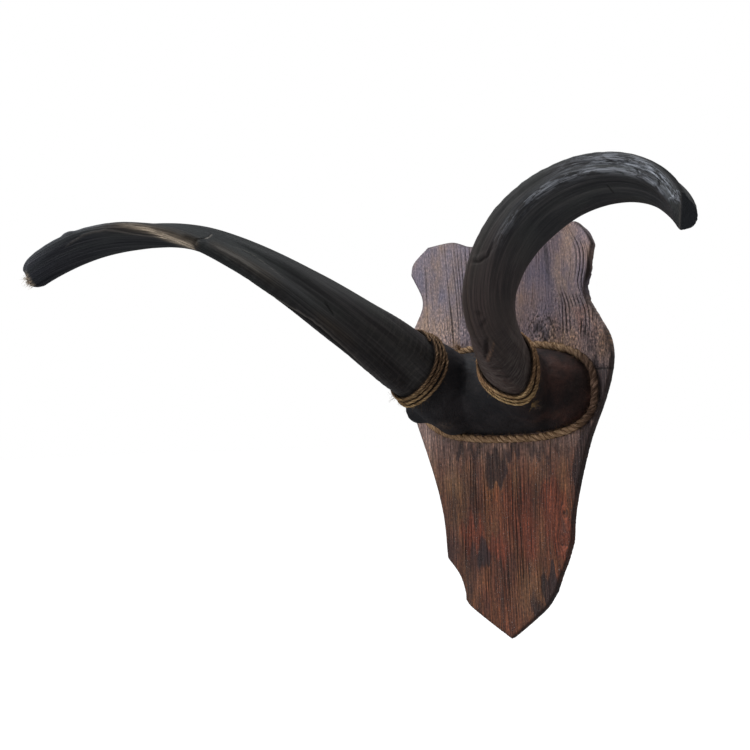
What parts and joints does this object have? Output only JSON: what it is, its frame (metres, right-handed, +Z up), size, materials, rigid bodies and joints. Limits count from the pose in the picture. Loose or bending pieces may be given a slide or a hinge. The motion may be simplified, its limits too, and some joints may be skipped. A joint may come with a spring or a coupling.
{
  "type": "mounted pair of goat horns on a wooden wall shield",
  "caption": "Dark twisted goat horns rising from a hide-covered skull plate on a carved wooden wall shield, bound and edged with jute twine",
  "frame": {"origin": "on the board's flat back, behind the middle of the skull plate", "axes": "+Y is the outward normal of the flat back, into the wall; +Z is up; +X is to the viewer's right; the front faces -Y"},
  "size_m": [0.5958, 0.3679, 0.414],
  "materials": {
    "wood": "wire-brushed, stained red-brown with dark grain and burnt edges",
    "hide": "tight dark brown hide with folds and a dull sheen",
    "keratin": "satin near-black horn with long ridges and worn tan edges",
    "jute": "fuzzy tan twisted jute"
  },
  "bodies": {
    "root": {"shield": "wood", "boss": "hide", "horn_left": "keratin", "horn_right": "keratin", "twine_left": "jute", "twine_right": "jute", "border_rope": "jute"}
  },
  "joints": []
}
